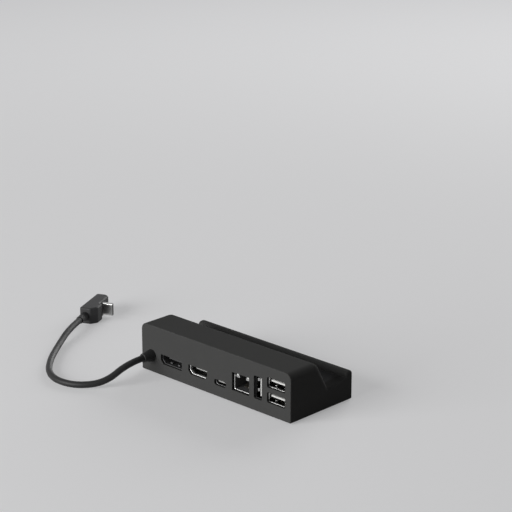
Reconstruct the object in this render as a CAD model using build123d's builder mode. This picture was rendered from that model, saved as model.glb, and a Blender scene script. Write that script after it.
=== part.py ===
"""Handheld console dock: a moulded port block with a slanted cradle and a short tail lead.

Millimetres. -Y is the port face, +X is to the right of someone who looks at it, +Z is up. The origin
is on the table, under the middle of the housing. The tail lead lies on the table beside it.
"""

import os
from math import cos, radians, sin, tan

from build123d import *

# Housing
depth = 50.5
height = 29.0
wall = 2.0
top_depth = 22.4  # port face to the corner of the top and the back rest
lean = 29.0  # back rest, degrees from upright
crown_radius = 5.5  # top running over into the back rest
end_radius = 4.0  # rounded ends of the top and the back rest
rim_radius = 0.6  # edge of the port face and of the lower rim
near = 0.01  # heights closer than this are the same

# Cradle
seat_height = 11.8  # corner of the back rest and the cradle floor
floor_rise = 12.0  # cradle floor, degrees up towards the lip
lip_height = 17.5
lip_thickness = 5.0
lip_draft = 0.8  # how far the lip's inner face leans back
lip_radius = 2.2
tray_end_radius = 1.5
liner_thickness = 1.2
liner_top = 24.5
liner_length = 104.0
liner_front_gap = 1.0
liner_bend = 2.0

# Foot, base plate and board stack
foot_height = 0.6
foot_margin = 3.0
foot_corner = 3.0
base_thickness = 2.0
base_fit = 0.2
under_board = 3.0
board_thickness = 1.6
board_fit = 0.5
chip_headroom = 1.6
foot_top = foot_height
base_top = foot_top + base_thickness
board_bottom = base_top + under_board
board_top = board_bottom + board_thickness

# Sockets from left to right: spacing along the port face, and centre above the board
gland_margin = 8.3
wide_video_pitch = 16.2
video_pitch = 21.4
power_pitch = 17.7
network_pitch = 15.9
upright_pitch = 13.2
pair_pitch = 13.6
pair_margin = 10.7
gland_lift = 3.6
video_lift = 3.4
power_lift = 1.75
upright_lift = 7.35
pair_lift = 4.0
pair_rise = 8.85

length = (
    gland_margin + wide_video_pitch + video_pitch + power_pitch + network_pitch + upright_pitch
    + pair_pitch + pair_margin
)
gland_x = gland_margin - length / 2
wide_video_x = gland_x + wide_video_pitch
video_x = wide_video_x + video_pitch
power_x = video_x + power_pitch
network_x = power_x + network_pitch
upright_x = network_x + upright_pitch
pair_x = upright_x + pair_pitch
gland_z = board_top + gland_lift
video_z = board_top + video_lift
power_z = board_top + power_lift
upright_z = board_top + upright_lift
pair_z = board_top + pair_lift

# Socket faces: the mating space inside each sleeve
sheet = 0.4
opening_gap = 0.1
mouth_round = 0.3  # rolled edge of each sleeve's mouth
socket_recess = 1.3
tongue_chamfer = 0.25
foot_tab = 2.0
wide_video_width = 16.1
wide_video_height = 4.76
wide_video_cut = 1.9
wide_video_run = 12.4
wide_video_tongue = 12.7
video_width = 14.0
video_height = 4.55
video_cut = 1.8
video_run = 11.8
video_tongue = 11.1
video_tongue_thickness = 1.0
video_tongue_recess = 3.0
power_width = 8.34
power_height = 2.56
power_run = 8.8
power_tongue = 6.7
power_tongue_thickness = 0.8
power_tongue_recess = 0.9
data_width = 12.5
data_height = 5.12
data_corner = 0.5
data_run = 14.0
data_tongue = 10.2
data_tongue_thickness = 1.0
data_tongue_recess = 0.3
data_tongue_offset = 0.85  # tongue's middle from the middle of its mating space
block_share = 3.4  # moulding behind each mating space

# Contacts
contact_thickness = 0.12
video_contact = 0.45
video_contact_pitch = 1.0
power_contact = 0.25
power_contact_pitch = 0.5
data_contact = 1.0
data_contact_pitch = 2.2
contact_setback = 0.6
video_contact_count = 10
video_lower_contact_count = 9
power_contact_count = 12
data_contact_count = 4

# Network jack
jack_width = 15.9
jack_height = 12.0
jack_run = 18.0
jack_opening_width = 13.2
jack_opening_height = 10.7
jack_sill = 0.6  # board to the lower edge of the opening
collar_recess = 1.5
collar_gap = 0.35  # collar to the edge of the opening
collar_thickness = 0.4
collar_corner = 0.9
jack_floor = 1.35
jack_mouth_width = 11.7
jack_mouth_height = 6.9
jack_latch_width = 5.0
jack_latch_height = 2.2
jack_mouth_run = 12.0
jack_light_width = 1.8
jack_light_height = 1.7
jack_light_spread = 7.6
jack_light_run = 6.0
jack_contact = 0.45
jack_contact_pitch = 1.02
jack_contact_count = 8
jack_contact_start = 4.5
jack_contact_rise = 4.6
jack_contact_thickness = 0.5

# Screws and bosses
boss_radius = 2.6
boss_gap = 1.0  # side wall to its bosses
screw_radius = 1.0
screw_slack = 0.1
screw_head_radius = 1.9
screw_head_height = 1.1
screw_length = 6.0
rear_boss_setback = 23.2
front_boss_inset = 8.0
board_boss_inset = 3.0  # from the front edge of the board
middle_boss_shift = 10.6
right_boss_shift = 7.8
board_boss_xs = (wide_video_x, video_x + middle_boss_shift, pair_x - right_boss_shift)

# Chips on the board: middle along X, middle behind the port face, side, thickness
video_chip_shift = 7.0
hub_chip_shift = 4.6
chips = {
    "video_chip": (wide_video_x + video_chip_shift, 19.0, 9.0, 1.0),
    "hub_chip": (video_x + hub_chip_shift, 18.5, 8.0, 0.9),
    "power_chip": (power_x, 16.5, 5.0, 0.8),
    "network_chip": (network_x, 25.2, 5.0, 0.9),
}
inductor_side = 4.0
inductor_height = 2.2
inductor_shift = 4.5
inductor_xs = (wide_video_x - inductor_shift, video_x - inductor_shift)
inductor_setback = 20.0
capacitor_radius = 2.0
capacitor_height = 5.4
left_capacitor_shift = 4.9
right_capacitor_shift = 2.8
capacitor_xs = (power_x + left_capacitor_shift, upright_x, pair_x - right_capacitor_shift)
capacitor_setback = 23.4
header_width = 8.0
header_run = 4.6
header_height = 4.6
header_shift = 4.6
header_setback = 20.4

# Tail lead
cord_diameter = 3.8
cord_clearance = 0.1  # cord's underside above the table
cord_lead_out = 11.5  # straight run out of the gland
cord_drop = 3.5  # height halfway down to the table
bend_share = 0.45  # share of a run that the bend at each of its ends may take
gland_length = 7.2
gland_base_radius = 3.6
gland_end_radius = 2.6
gland_neck_radius = 3.1
gland_hole_gap = 0.1
gland_flange_radius = 4.4
gland_flange = 1.5
gland_round = 0.5
collar_length = 8.0
collar_radius = 2.6
collar_cord_end_radius = 2.3
plug_length = 27.5
plug_width = 10.4
plug_axis = 3.6  # cord's axis below the plug's back
plug_end_height = 7.2
plug_belly_height = 10.8
plug_nose_height = 8.6
plug_belly_start = 3.8
plug_belly_end = 10.2
plug_step = 2.0
plug_nose_cut = 2.1
plug_corner = 1.5
plug_edge = 1.1
sleeve_place = 16.4
sleeve_width = 8.25
sleeve_thickness = 2.4
sleeve_run = 6.65
plug_sheet = 0.3
sleeve_core_run = 1.6
sleeve_spring_run = 4.6
sleeve_spring_thickness = 0.35

rear = -depth / 2
front = depth / 2
side = length / 2
skin = wall + liner_thickness
crown_y = rear + top_depth
seat_y = crown_y + (height - seat_height) * tan(radians(lean))
lip_back = front - lip_thickness
lip_foot = lip_back - lip_draft


def rest_y(z, inset=0.0):
    """Back rest at a height, moved into the wall by inset."""
    return crown_y + (height - z) * tan(radians(lean)) - inset / cos(radians(lean))


def floor_z(y, inset=0.0):
    """Cradle floor's height at a depth, moved into the wall by inset."""
    return seat_height + (y - seat_y) * tan(radians(floor_rise)) - inset / cos(radians(floor_rise))


def seat_corner(inset=0.0):
    """Where the back rest and the cradle floor meet, both moved into the wall by inset."""
    rest, floor = radians(lean), radians(floor_rise)
    drop = inset * (tan(floor) / cos(rest) + 1 / cos(floor)) / (1 + tan(rest) * tan(floor))
    return seat_y + drop * tan(rest) - inset / cos(rest), seat_height - drop


def port_plane(recess=0.0):
    """Upright plane behind the port face, seen from outside, with X and Z as its axes."""
    return Plane.XZ.offset(depth / 2 - recess)


def end_edges(part, bottom, back):
    """Edges of the two ends of an extruded profile, above its bottom and in front of its back."""
    edges = part.faces().filter_by(Axis.X).edges()
    return edges.filter_by(lambda e: e.center().Z > bottom + near and e.center().Y > back + near)


def write(part, name):
    """Labels a finished piece and writes its file."""
    part.label = name
    export_step(part, f"parts/{name}.step")


os.makedirs("parts", exist_ok=True)


# Socket faces
def cut_corner_face(width, high, cut, corners, grow):
    """Rectangle with its lower left corner, or both lower corners, cut off, grown evenly."""
    with BuildSketch() as face:
        Rectangle(width, high)
        low_corners = face.vertices().group_by(Axis.Y)[0].sort_by(Axis.X)
        chamfer(low_corners[:corners], cut)
        if grow:
            offset(amount=grow, kind=Kind.INTERSECTION)
    return face.sketch


def wide_video_face(grow=0.0):
    return cut_corner_face(wide_video_width, wide_video_height, wide_video_cut, 1, grow)


def video_face(grow=0.0):
    return cut_corner_face(video_width, video_height, video_cut, 2, grow)


def power_face(grow=0.0):
    with BuildSketch() as face:
        SlotOverall(power_width + 2 * grow, power_height + 2 * grow)
    return face.sketch


def data_face(grow=0.0):
    with BuildSketch() as face:
        RectangleRounded(data_width + 2 * grow, data_height + 2 * grow, data_corner + grow)
    return face.sketch


def upright_face(grow=0.0):
    with BuildSketch() as face:
        RectangleRounded(data_height + 2 * grow, data_width + 2 * grow, data_corner + grow)
    return face.sketch


# Every sleeved socket: its face, and the middle of each of its mating spaces
sockets = {
    "wide_video": (wide_video_face, [(wide_video_x, video_z)]),
    "video": (video_face, [(video_x, video_z)]),
    "power": (power_face, [(power_x, power_z)]),
    "data_upright": (upright_face, [(upright_x, upright_z)]),
    "data_pair": (data_face, [(pair_x, pair_z), (pair_x, pair_z + pair_rise)]),
}
jack_front = rear + wall
jack_low = board_top
jack_mouth_low = jack_low + jack_floor
jack_mouth_high = jack_mouth_low + jack_mouth_height
jack_middle = jack_low + jack_sill + jack_opening_height / 2

# Where the screws stand
side_boss_x = side - wall - boss_gap - boss_radius
case_screw_places = [
    (sign * side_boss_x, y)
    for sign in (-1, 1)
    for y in (rear + rear_boss_setback, front - front_boss_inset)
]
board_front = rest_y(board_top + chip_headroom, skin) - board_fit
board_screw_places = [(x, board_front - board_boss_inset) for x in board_boss_xs]
bore_radius = screw_radius + screw_slack

# Housing: the tall rear block, with the top and the back rest
with BuildPart() as rear_block:
    with BuildSketch(Plane.YZ) as rear_profile:
        with BuildLine():
            Polyline(
                (rear, foot_top),
                (rear, height),
                (crown_y, height),
                (rest_y(foot_top), foot_top),
                close=True,
            )
        make_face()
        crown = rear_profile.vertices().group_by(Axis.Y)[-1].sort_by(Axis.X)[-1]
        fillet(crown, crown_radius)
    extrude(amount=side, both=True)
    fillet(end_edges(rear_block, foot_top, rear), end_radius)

# Housing: the low tray in front, with the cradle floor and the lip
with BuildPart() as front_tray:
    with BuildSketch(Plane.YZ) as tray_profile:
        with BuildLine():
            Polyline(
                (crown_y, foot_top),
                (front, foot_top),
                (front, lip_height),
                (lip_back, lip_height),
                (lip_foot, floor_z(lip_foot)),
                (crown_y, floor_z(crown_y)),
                close=True,
            )
        make_face()
        fillet(tray_profile.vertices().group_by(Axis.Y)[-1], lip_radius)
    extrude(amount=side, both=True)
    fillet(end_edges(front_tray, foot_top, crown_y), tray_end_radius)

# Housing: the space inside, less the screw bosses that hang in it
with BuildPart() as inside:
    with BuildSketch(Plane.YZ):
        with BuildLine():
            Polyline(
                (rear + wall, foot_top),
                (rear + wall, height - wall),
                (rest_y(height - wall, skin), height - wall),
                (rest_y(foot_top, skin), foot_top),
                close=True,
            )
        make_face()
    extrude(amount=side - wall, both=True)
    fillet(end_edges(inside, foot_top, rear + wall), end_radius - wall)
    with BuildSketch(Plane.YZ):
        with BuildLine():
            Polyline(
                (crown_y, foot_top),
                (front - wall, foot_top),
                (front - wall, floor_z(front - wall, skin)),
                (crown_y, floor_z(crown_y, skin)),
                close=True,
            )
        make_face()
    extrude(amount=side - wall, both=True)
    with BuildSketch(Plane.XY.offset(base_top)):
        with Locations(*case_screw_places):
            Circle(boss_radius)
    extrude(amount=height, mode=Mode.SUBTRACT)
    with BuildSketch(Plane.XY.offset(board_top)):
        with Locations(*board_screw_places):
            Circle(boss_radius)
    extrude(amount=height, mode=Mode.SUBTRACT)

# Cradle liner: a bent rubber sheet that lies flush on the back rest and the floor
rest_normal = (cos(radians(lean)), sin(radians(lean)))
floor_normal = (-sin(radians(floor_rise)), cos(radians(floor_rise)))
liner_front = lip_foot - liner_front_gap
liner_head = (rest_y(liner_top), liner_top)
liner_toe = (liner_front, floor_z(liner_front))
with BuildPart() as cradle_liner:
    with BuildSketch(Plane.YZ) as liner_profile:
        with BuildLine():
            Polyline(
                liner_head,
                seat_corner(),
                liner_toe,
                (
                    liner_toe[0] - liner_thickness * floor_normal[0],
                    liner_toe[1] - liner_thickness * floor_normal[1],
                ),
                seat_corner(liner_thickness),
                (
                    liner_head[0] - liner_thickness * rest_normal[0],
                    liner_head[1] - liner_thickness * rest_normal[1],
                ),
                close=True,
            )
        make_face()
        exposed_bend = liner_profile.vertices().sort_by_distance(seat_corner())[0]
        fillet(exposed_bend, liner_bend)
    extrude(amount=liner_length / 2, both=True)

with BuildPart() as housing:
    add(rear_block.part)
    add(front_tray.part)
    port_side = housing.faces().sort_by(Axis.Y)[0]
    lower_side = housing.faces().sort_by(Axis.Z)[0]
    lower_rim = lower_side.edges().filter_by(lambda e: e.center().Y > rear + near)
    fillet(port_side.edges() + lower_rim, rim_radius)
    add(inside.part, mode=Mode.SUBTRACT)
    add(cradle_liner.part, mode=Mode.SUBTRACT)
    with BuildSketch(port_plane()):
        for face, middles in sockets.values():
            with Locations(*middles):
                add(face(sheet + opening_gap))
        with Locations((network_x, jack_middle)):
            Rectangle(jack_opening_width, jack_opening_height)
        with Locations((gland_x, gland_z)):
            Circle(gland_neck_radius + gland_hole_gap)
    extrude(amount=-wall, mode=Mode.SUBTRACT)
    with BuildSketch(Plane.XY.offset(base_top)):
        with Locations(*case_screw_places):
            Circle(bore_radius)
    extrude(amount=screw_length, mode=Mode.SUBTRACT)
    with BuildSketch(Plane.XY.offset(board_top)):
        with Locations(*board_screw_places):
            Circle(bore_radius)
    extrude(amount=screw_length, mode=Mode.SUBTRACT)
write(housing.part, "housing")
write(cradle_liner.part, "cradle_liner")

# Base plate and foot
with BuildPart() as base_plate:
    with BuildSketch(Plane.XY.offset(foot_top)):
        Rectangle(length - 2 * wall - 2 * base_fit, depth - 2 * wall - 2 * base_fit)
    extrude(amount=base_thickness)
    with Locations(base_plate.faces().sort_by(Axis.Z)[0]):
        with Locations(*[(x, -y) for x, y in case_screw_places]):
            CounterBoreHole(bore_radius, screw_head_radius + screw_slack, screw_head_height)
write(base_plate.part, "base_plate")

with BuildPart() as foot_pad:
    with BuildSketch():
        RectangleRounded(length - 2 * foot_margin, depth - 2 * foot_margin, foot_corner)
    extrude(amount=foot_height)
write(foot_pad.part, "foot_pad")


def screws(places, seat):
    """Pan-head screws that point up, with the underside of each head on its seat."""
    with BuildPart() as group:
        with BuildSketch(Plane.XY.offset(seat)):
            with Locations(*places):
                Circle(screw_head_radius)
        extrude(amount=-screw_head_height)
        with BuildSketch(Plane.XY.offset(seat)):
            with Locations(*places):
                Circle(screw_radius)
        extrude(amount=screw_length)
    return group.part


write(screws(case_screw_places, foot_top + screw_head_height), "case_screws")
write(screws(board_screw_places, board_bottom), "board_screws")

# Main board: the full row of sockets at the rear, narrower where the side bosses stand
board_rear = rear + wall + board_fit
board_waist = rear + rear_boss_setback - boss_radius - board_fit
gland_clear_x = gland_x + gland_flange_radius + board_fit
inner_side = side - wall - board_fit
waist_side = side_boss_x - boss_radius - board_fit
with BuildPart() as main_board:
    with BuildSketch(Plane.XY.offset(board_bottom)):
        with BuildLine():
            Polyline(
                (gland_clear_x, board_rear),
                (inner_side, board_rear),
                (inner_side, board_waist),
                (waist_side, board_waist),
                (waist_side, board_front),
                (-waist_side, board_front),
                (-waist_side, board_waist),
                (gland_clear_x, board_waist),
                close=True,
            )
        make_face()
        with Locations(*board_screw_places):
            Circle(bore_radius, mode=Mode.SUBTRACT)
    extrude(amount=board_thickness)
write(main_board.part, "main_board")

# Chips and other components on the board
for chip_name, (x, setback, chip_side, thickness) in chips.items():
    with BuildPart() as chip:
        with BuildSketch(Plane.XY.offset(board_top)):
            with Locations((x, rear + setback)):
                Rectangle(chip_side, chip_side)
        extrude(amount=thickness)
    write(chip.part, chip_name)

with BuildPart() as power_inductors:
    with BuildSketch(Plane.XY.offset(board_top)):
        with Locations(*[(x, rear + inductor_setback) for x in inductor_xs]):
            Rectangle(inductor_side, inductor_side)
    extrude(amount=inductor_height)
    chamfer(power_inductors.edges().filter_by(Axis.Z), inductor_side / 8)
write(power_inductors.part, "power_inductors")

with BuildPart() as capacitors:
    with BuildSketch(Plane.XY.offset(board_top)):
        with Locations(*[(x, rear + capacitor_setback) for x in capacitor_xs]):
            Circle(capacitor_radius)
    extrude(amount=capacitor_height)
write(capacitors.part, "capacitors")


# Sleeved sockets
def mouth_edges(part):
    """Inner edges of a part's foremost faces."""
    front_faces = part.faces().group_by(Axis.Y)[0]
    return [edge for face in front_faces for wire in face.inner_wires() for edge in wire.edges()]


def socket_sleeve(face, middles, run, half_width):
    """Sheet-metal sleeve round each mating space, with two tabs that stand on the board."""
    with BuildPart() as sleeve:
        with BuildSketch(port_plane(socket_recess)):
            with Locations(*middles):
                add(face(sheet))
        extrude(amount=-run)
        with BuildSketch(Plane.XY.offset(board_top)):
            tab_x = half_width + sheet / 2
            for x in (middles[0][0] - tab_x, middles[0][0] + tab_x):
                with Locations((x, rear + socket_recess + run / 2)):
                    Rectangle(sheet, foot_tab)
        extrude(amount=middles[-1][1] - board_top)
        with BuildSketch(port_plane(socket_recess)):
            with Locations(*middles):
                add(face())
        extrude(amount=-run, mode=Mode.SUBTRACT)
        fillet(mouth_edges(sleeve), mouth_round)
    return sleeve.part


def socket_tongue(face, middles, run, tongue_size, recess, tongue_shift=(0, 0)):
    """Moulding that fills the rear of each sleeve and carries its tongue."""
    with BuildPart() as moulding:
        with BuildSketch(port_plane(socket_recess + run - block_share)):
            with Locations(*middles):
                add(face())
        extrude(amount=-block_share)
        with BuildSketch(port_plane(socket_recess + recess)):
            with Locations(*[(x + tongue_shift[0], z + tongue_shift[1]) for x, z in middles]):
                Rectangle(*tongue_size)
        extrude(amount=-(run - block_share - recess))
        chamfer(moulding.faces().group_by(Axis.Y)[0].edges(), tongue_chamfer)
    return moulding.part


def flat_contacts(x, faces, run, pitch, width, recess):
    """Contact strips on the upper and lower faces of a flat tongue, given as (z, side, count)."""
    start = rear + socket_recess + recess + contact_setback
    end = rear + socket_recess + run - block_share
    with BuildPart() as strips:
        for z, way, count in faces:
            with BuildSketch(Plane.XY.offset(z)):
                with Locations((x, (start + end) / 2)):
                    with GridLocations(pitch, pitch, count, 1):
                        Rectangle(width, end - start)
            extrude(amount=way * contact_thickness)
    return strips.part


def tongue_faces(z, thickness, upper, lower):
    """Upper and lower contact rows of one tongue."""
    return [(z + thickness / 2, 1, upper), (z - thickness / 2, -1, lower)]


face, middles = sockets["wide_video"]
write(socket_sleeve(face, middles, wide_video_run, wide_video_width / 2), "wide_video_sleeve")
tongue = (wide_video_tongue, video_tongue_thickness)
write(socket_tongue(face, middles, wide_video_run, tongue, video_tongue_recess), "wide_video_tongue")
rows = tongue_faces(video_z, video_tongue_thickness, video_contact_count, video_contact_count)
write(
    flat_contacts(
        wide_video_x, rows, wide_video_run, video_contact_pitch, video_contact, video_tongue_recess
    ),
    "wide_video_contacts",
)

face, middles = sockets["video"]
write(socket_sleeve(face, middles, video_run, video_width / 2), "video_sleeve")
tongue = (video_tongue, video_tongue_thickness)
write(socket_tongue(face, middles, video_run, tongue, video_tongue_recess), "video_tongue")
rows = tongue_faces(video_z, video_tongue_thickness, video_contact_count, video_lower_contact_count)
write(
    flat_contacts(video_x, rows, video_run, video_contact_pitch, video_contact, video_tongue_recess),
    "video_contacts",
)

face, middles = sockets["power"]
write(socket_sleeve(face, middles, power_run, power_width / 2), "power_sleeve")
tongue = (power_tongue, power_tongue_thickness)
write(socket_tongue(face, middles, power_run, tongue, power_tongue_recess), "power_tongue")
rows = tongue_faces(power_z, power_tongue_thickness, power_contact_count, power_contact_count)
write(
    flat_contacts(power_x, rows, power_run, power_contact_pitch, power_contact, power_tongue_recess),
    "power_contacts",
)

# Stacked pair of data sockets: tongues above the middle, contacts on their undersides
face, middles = sockets["data_pair"]
write(socket_sleeve(face, middles, data_run, data_width / 2), "data_pair_sleeve")
tongue = (data_tongue, data_tongue_thickness)
shift = (0, data_tongue_offset)
write(socket_tongue(face, middles, data_run, tongue, data_tongue_recess, shift), "data_pair_tongues")
data_contact_drop = data_tongue_offset - data_tongue_thickness / 2
rows = [(z + data_contact_drop, -1, data_contact_count) for x, z in middles]
write(
    flat_contacts(pair_x, rows, data_run, data_contact_pitch, data_contact, data_tongue_recess),
    "data_pair_contacts",
)

# Upright data socket: its tongue on the right, contacts on the left of it
face, middles = sockets["data_upright"]
write(socket_sleeve(face, middles, data_run, data_height / 2), "data_upright_sleeve")
tongue = (data_tongue_thickness, data_tongue)
shift = (data_tongue_offset, 0)
write(socket_tongue(face, middles, data_run, tongue, data_tongue_recess, shift), "data_upright_tongue")
upright_contact_x = upright_x + data_contact_drop
upright_contact_start = rear + socket_recess + data_tongue_recess + contact_setback
upright_contact_end = rear + socket_recess + data_run - block_share
with BuildPart() as data_upright_contacts:
    with BuildSketch(Plane.YZ.offset(upright_contact_x)):
        with Locations(((upright_contact_start + upright_contact_end) / 2, upright_z)):
            with GridLocations(data_contact_pitch, data_contact_pitch, 1, data_contact_count):
                Rectangle(upright_contact_end - upright_contact_start, data_contact)
    extrude(amount=-contact_thickness)
write(data_upright_contacts.part, "data_upright_contacts")

# Network jack
jack_plane = port_plane(wall)
jack_light_places = [
    (network_x + sign * jack_light_spread / 2, jack_mouth_high + jack_light_height / 2 + sheet)
    for sign in (-1, 1)
]


def jack_mouth():
    """Mouth for the plug, with the slot for its latch above."""
    with BuildSketch() as mouth:
        with Locations((network_x, jack_mouth_low + jack_mouth_height / 2)):
            Rectangle(jack_mouth_width, jack_mouth_height)
        with Locations((network_x, jack_mouth_high + jack_latch_height / 2)):
            Rectangle(jack_latch_width, jack_latch_height)
    return mouth.sketch


with BuildPart() as network_shield:
    with BuildSketch(jack_plane):
        with Locations((network_x, jack_low + jack_height / 2)):
            Rectangle(jack_width, jack_height)
    extrude(amount=-jack_run)
    with BuildSketch(port_plane(wall + sheet)):
        with Locations((network_x, jack_low + (jack_height - sheet) / 2)):
            Rectangle(jack_width - 2 * sheet, jack_height - sheet)
    extrude(amount=-(jack_run - 2 * sheet), mode=Mode.SUBTRACT)
    with BuildSketch(jack_plane):
        add(jack_mouth())
        with Locations(*jack_light_places):
            Rectangle(jack_light_width, jack_light_height)
    extrude(amount=-sheet, mode=Mode.SUBTRACT)
    with BuildSketch(port_plane(collar_recess)) as collar:
        with Locations((network_x, jack_middle)):
            RectangleRounded(
                jack_opening_width - 2 * collar_gap,
                jack_opening_height - 2 * collar_gap,
                collar_corner,
            )
        offset(amount=-collar_thickness, mode=Mode.SUBTRACT)
    extrude(amount=-(wall - collar_recess))
    fillet(mouth_edges(network_shield), mouth_round)
write(network_shield.part, "network_shield")

with BuildPart() as network_insert:
    with BuildSketch(port_plane(wall + sheet)):
        with Locations((network_x, jack_low + (jack_height - sheet) / 2)):
            Rectangle(jack_width - 2 * sheet, jack_height - sheet)
    extrude(amount=-(jack_run - 2 * sheet))
    with BuildSketch(jack_plane):
        add(jack_mouth())
    extrude(amount=-jack_mouth_run, mode=Mode.SUBTRACT)
    with BuildSketch(jack_plane):
        with Locations(*jack_light_places):
            Rectangle(jack_light_width, jack_light_height)
    extrude(amount=-jack_light_run, mode=Mode.SUBTRACT)
write(network_insert.part, "network_insert")

with BuildPart() as network_lights:
    with BuildSketch(jack_plane):
        with Locations(*jack_light_places):
            Rectangle(jack_light_width, jack_light_height)
    extrude(amount=-jack_light_run)
write(network_lights.part, "network_lights")

contact_foot_y = jack_front + jack_contact_start
contact_back_y = jack_front + jack_mouth_run
contact_row_middle = (jack_contact_count - 1) / 2
contact_planes = [
    Plane.YZ.offset(network_x + (i - contact_row_middle) * jack_contact_pitch)
    for i in range(jack_contact_count)
]
with BuildPart() as network_contacts:
    with BuildSketch(*contact_planes):
        with BuildLine():
            Polyline(
                (contact_foot_y, jack_mouth_low),
                (contact_foot_y + jack_contact_thickness * 2, jack_mouth_low),
                (contact_back_y, jack_mouth_low + jack_contact_rise - jack_contact_thickness),
                (contact_back_y, jack_mouth_low + jack_contact_rise),
                close=True,
            )
        make_face()
    extrude(amount=jack_contact / 2, both=True)
write(network_contacts.part, "network_contacts")

# Gland: a tapered strain relief, a neck through the wall and a flange behind it
gland_axis = Axis((gland_x, rear, gland_z), (0, 1, 0))
with BuildPart() as cable_gland:
    with BuildSketch(Plane((gland_x, rear, gland_z), x_dir=(1, 0, 0), z_dir=(0, 0, 1))) as gland_half:
        with BuildLine():
            Polyline(
                (0, wall + gland_flange),
                (gland_flange_radius, wall + gland_flange),
                (gland_flange_radius, wall),
                (gland_neck_radius, wall),
                (gland_neck_radius, 0),
                (gland_base_radius, 0),
                (gland_end_radius, -gland_length),
                (0, -gland_length),
                close=True,
            )
        make_face()
        fillet(gland_half.vertices().group_by(Axis.Y)[0].sort_by(Axis.X)[-1], gland_round)
    revolve(axis=gland_axis)
write(cable_gland.part, "cable_gland")

# Cord: out of the gland, down to the table, round and along beside the dock
cord_radius = cord_diameter / 2
cord_z = cord_radius + cord_clearance
plug_z = plug_width / 2
gland_end = Vector(gland_x, rear - gland_length, 0)
cord_route = [  # from the end of the gland, with the height above the table
    (0, 0, gland_z),
    (0, -cord_lead_out, gland_z),
    (-1.8, -26.55, cord_drop),
    (-11.0, -37.95, cord_z),
    (-25.0, -42.15, cord_z),
    (-39.4, -37.15, cord_z),
    (-53.8, -23.55, cord_z),
    (-67.8, -5.55, cord_z),
    (-78.4, 12.45, plug_z),
    (-84.8, 26.05, plug_z),
]
cord_points = [gland_end + Vector(*step) for step in cord_route]
cord_radii = []
for before, at, after in zip(cord_points, cord_points[1:], cord_points[2:]):
    half_turn = radians((at - before).get_angle(after - at)) / 2
    shorter_run = min((at - before).length, (after - at).length)
    cord_radii.append(bend_share * shorter_run / tan(half_turn))
print("cord radii", [round(r, 1) for r in cord_radii])

with BuildPart() as cord:
    with BuildLine() as cord_line:
        FilletPolyline(*cord_points, radius=cord_radii)
    with BuildSketch(Plane(cord_line.line @ 0, z_dir=cord_line.line % 0)):
        Circle(cord_radius)
    sweep(path=cord_line.line)
write(cord.part, "cord")
cord_length = cord_line.wire().length
cord_section = Circle(cord_radius, mode=Mode.PRIVATE).area
print("cord length", round(cord_length, 1), "volume ratio", cord.part.volume / (cord_section * cord_length))

# Inner tail of the lead and the header that it plugs into
header_x = gland_x + header_shift
header_back = rear + header_setback
header_mid_z = board_top + header_height / 2
tail_start = rear + wall + gland_flange
tail_run = (header_back - tail_start) / 3
tail_points = [
    Vector(gland_x, tail_start, gland_z),
    Vector(gland_x, tail_start + tail_run, gland_z),
    Vector(header_x, header_back - tail_run, header_mid_z),
    Vector(header_x, header_back, header_mid_z),
]
with BuildPart() as cord_tail:
    with BuildLine() as tail_line:
        FilletPolyline(*tail_points, radius=cord_diameter)
    with BuildSketch(Plane(tail_line.line @ 0, z_dir=tail_line.line % 0)):
        Circle(cord_radius)
    sweep(path=tail_line.line)
write(cord_tail.part, "cord_tail")

with BuildPart() as cord_header:
    with BuildSketch(Plane.XY.offset(board_top)):
        with Locations((header_x, header_back + header_run / 2)):
            Rectangle(header_width, header_run)
    extrude(amount=header_height)
write(cord_header.part, "cord_header")

# Right-angle plug: it lies on its flank, with the cord along its back and the sleeve to the right
plug_way = (cord_points[-1] - cord_points[-2]).normalized()
plug_right = plug_way.cross(Vector(0, 0, 1))
plug_face = cord_points[-1] + plug_way * collar_length
with BuildPart() as plug_collar:
    with BuildSketch(Plane(cord_points[-1], z_dir=plug_way)):
        Circle(collar_cord_end_radius)
    with BuildSketch(Plane(plug_face, z_dir=plug_way)):
        Circle(collar_radius)
    loft()
write(plug_collar.part, "plug_collar")

plug_plane = Plane(plug_face, x_dir=plug_way, z_dir=(0, 0, -1))
nose_face = plug_nose_height - plug_axis
with BuildPart() as plug_body:
    with BuildSketch(plug_plane) as plug_profile:
        with BuildLine():
            Polyline(
                (0, -plug_axis),
                (plug_length, -plug_axis),
                (plug_length, nose_face - plug_nose_cut),
                (plug_length - plug_nose_cut, nose_face),
                (plug_belly_end + plug_step, nose_face),
                (plug_belly_end, plug_belly_height - plug_axis),
                (plug_belly_start, plug_belly_height - plug_axis),
                (0, plug_end_height - plug_axis),
                close=True,
            )
        make_face()
        fillet(plug_profile.vertices(), plug_corner)
    extrude(amount=plug_width / 2, both=True)
    fillet(plug_body.faces().filter_by(Axis.Z).edges(), plug_edge)
write(plug_body.part, "plug_body")

sleeve_foot = plug_face + plug_way * sleeve_place + plug_right * nose_face
sleeve_plane = Plane(sleeve_foot, x_dir=(0, 0, 1), z_dir=plug_right)
with BuildPart() as plug_sleeve:
    with BuildSketch(sleeve_plane):
        SlotOverall(sleeve_width, sleeve_thickness)
        SlotOverall(sleeve_width - 2 * plug_sheet, sleeve_thickness - 2 * plug_sheet, mode=Mode.SUBTRACT)
    extrude(amount=sleeve_run)
write(plug_sleeve.part, "plug_sleeve")

with BuildPart() as plug_core:
    with BuildSketch(sleeve_plane):
        SlotOverall(sleeve_width - 2 * plug_sheet, sleeve_thickness - 2 * plug_sheet)
    extrude(amount=sleeve_core_run)
    spring_offset = sleeve_thickness / 2 - plug_sheet - sleeve_spring_thickness / 2
    with BuildSketch(sleeve_plane.offset(sleeve_core_run)):
        with Locations((0, spring_offset), (0, -spring_offset)):
            Rectangle(sleeve_width - sleeve_thickness, sleeve_spring_thickness)
    extrude(amount=sleeve_spring_run - sleeve_core_run)
write(plug_core.part, "plug_core")
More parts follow.
